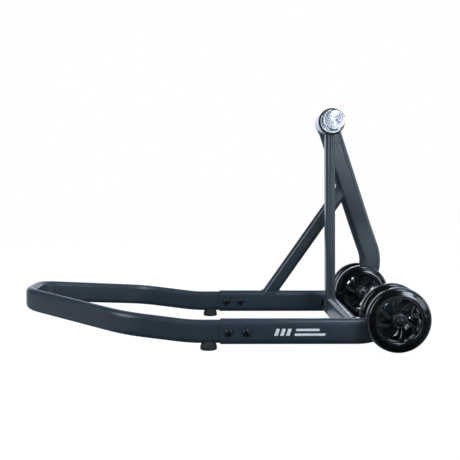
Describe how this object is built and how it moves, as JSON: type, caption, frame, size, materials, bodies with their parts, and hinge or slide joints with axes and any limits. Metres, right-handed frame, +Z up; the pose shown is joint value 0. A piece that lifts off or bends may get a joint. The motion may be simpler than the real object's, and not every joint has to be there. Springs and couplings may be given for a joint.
{
  "type": "motorcycle paddock stand",
  "caption": "Single-sided motorcycle paddock stand: flat-sided oval tube frame on twin wheels, U-shaped hand lever, and an upright and braced arm carrying a turned lifting pin.",
  "frame": {"origin": "on the ground under the middle of the stand's bounding box", "axes": "+X from the hand lever towards the wheels, +Z up, -Y the side that the lifting pin points to"},
  "size_m": [0.7139, 0.4416, 0.4292],
  "materials": {
    "frame_paint": "satin dark blue-grey powder coat with fine orange peel",
    "turned_steel": "bright turned steel with concentric tool marks",
    "zinc_hardware": "zinc plated",
    "black_hardware": "black oxide, slightly oily sheen",
    "bearing_steel": "ground bearing steel with shields",
    "rubber": "matt black moulded rubber",
    "tyre": "glossy black polyurethane with a rounded shoulder",
    "wheel_core": "glossy black moulded nylon spokes",
    "nylon": "matt black nylon"
  },
  "bodies": {
    "root": {"near_side_tube": "frame_paint", "far_side_tube": "frame_paint", "cross_tube": "frame_paint", "cross_stub": "frame_paint", "cross_spigot": "frame_paint", "post_tube": "frame_paint", "brace_tube": "frame_paint", "lever_tube": "frame_paint", "near_tube_end_cap": "nylon", "receiver_bush": "nylon", "near_foot": "rubber", "near_foot_screw": "zinc_hardware", "near_lever_bolt_1": "black_hardware", "near_lever_nut_1": "zinc_hardware", "near_lever_bolt_2": "black_hardware", "near_lever_nut_2": "zinc_hardware", "near_axle_bolt": "black_hardware", "near_axle_nut": "zinc_hardware", "near_axle_washer": "black_hardware", "near_axle_nut_washer": "zinc_hardware", "near_outer_spacer": "zinc_hardware", "near_inner_spacer": "zinc_hardware", "far_foot": "rubber", "far_foot_screw": "zinc_hardware", "far_lever_bolt_1": "black_hardware", "far_lever_nut_1": "zinc_hardware", "far_lever_bolt_2": "black_hardware", "far_lever_nut_2": "zinc_hardware", "far_axle_bolt": "black_hardware", "far_axle_nut": "zinc_hardware", "far_axle_washer": "black_hardware", "far_axle_nut_washer": "zinc_hardware", "far_outer_spacer": "zinc_hardware", "far_inner_spacer": "zinc_hardware", "cross_bolt": "black_hardware", "cross_nut": "black_hardware", "receiver_tube": "turned_steel", "near_outer_wheel_bearing_spacer": "zinc_hardware", "near_inner_wheel_bearing_spacer": "zinc_hardware", "far_outer_wheel_bearing_spacer": "zinc_hardware", "far_inner_wheel_bearing_spacer": "zinc_hardware"},
    "near_outer_wheel": {"near_outer_wheel_tyre": "tyre", "near_outer_wheel_core": "wheel_core", "near_outer_wheel_bearing_a": "bearing_steel", "near_outer_wheel_bearing_b": "bearing_steel"},
    "near_inner_wheel": {"near_inner_wheel_tyre": "tyre", "near_inner_wheel_core": "wheel_core", "near_inner_wheel_bearing_a": "bearing_steel", "near_inner_wheel_bearing_b": "bearing_steel"},
    "far_outer_wheel": {"far_outer_wheel_tyre": "tyre", "far_outer_wheel_core": "wheel_core", "far_outer_wheel_bearing_a": "bearing_steel", "far_outer_wheel_bearing_b": "bearing_steel"},
    "far_inner_wheel": {"far_inner_wheel_tyre": "tyre", "far_inner_wheel_core": "wheel_core", "far_inner_wheel_bearing_a": "bearing_steel", "far_inner_wheel_bearing_b": "bearing_steel"},
    "pin_carrier": {"pin_ring": "rubber", "pin_seal": "rubber"},
    "pin": {"lifting_pin": "turned_steel"}
  },
  "joints": [
    {"name": "near_outer_wheel_roll", "type": "hinge", "parent": "root", "child": "near_outer_wheel", "pos_m": [0.302, -0.202, 0.055], "axis": [0, 1, 0], "continuous": true},
    {"name": "near_inner_wheel_roll", "type": "hinge", "parent": "root", "child": "near_inner_wheel", "pos_m": [0.302, -0.144, 0.055], "axis": [0, 1, 0], "continuous": true},
    {"name": "far_outer_wheel_roll", "type": "hinge", "parent": "root", "child": "far_outer_wheel", "pos_m": [0.302, 0.202, 0.055], "axis": [0, 1, 0], "continuous": true},
    {"name": "far_inner_wheel_roll", "type": "hinge", "parent": "root", "child": "far_inner_wheel", "pos_m": [0.302, 0.144, 0.055], "axis": [0, 1, 0], "continuous": true},
    {"name": "pin_withdraw", "type": "slide", "parent": "root", "child": "pin_carrier", "axis": [0, -1, 0], "range_m": [0, 0.075]},
    {"name": "pin_turn", "type": "hinge", "parent": "pin_carrier", "child": "pin", "pos_m": [0.226, 0.05, 0.403], "axis": [0, 1, 0], "continuous": true}
  ]
}
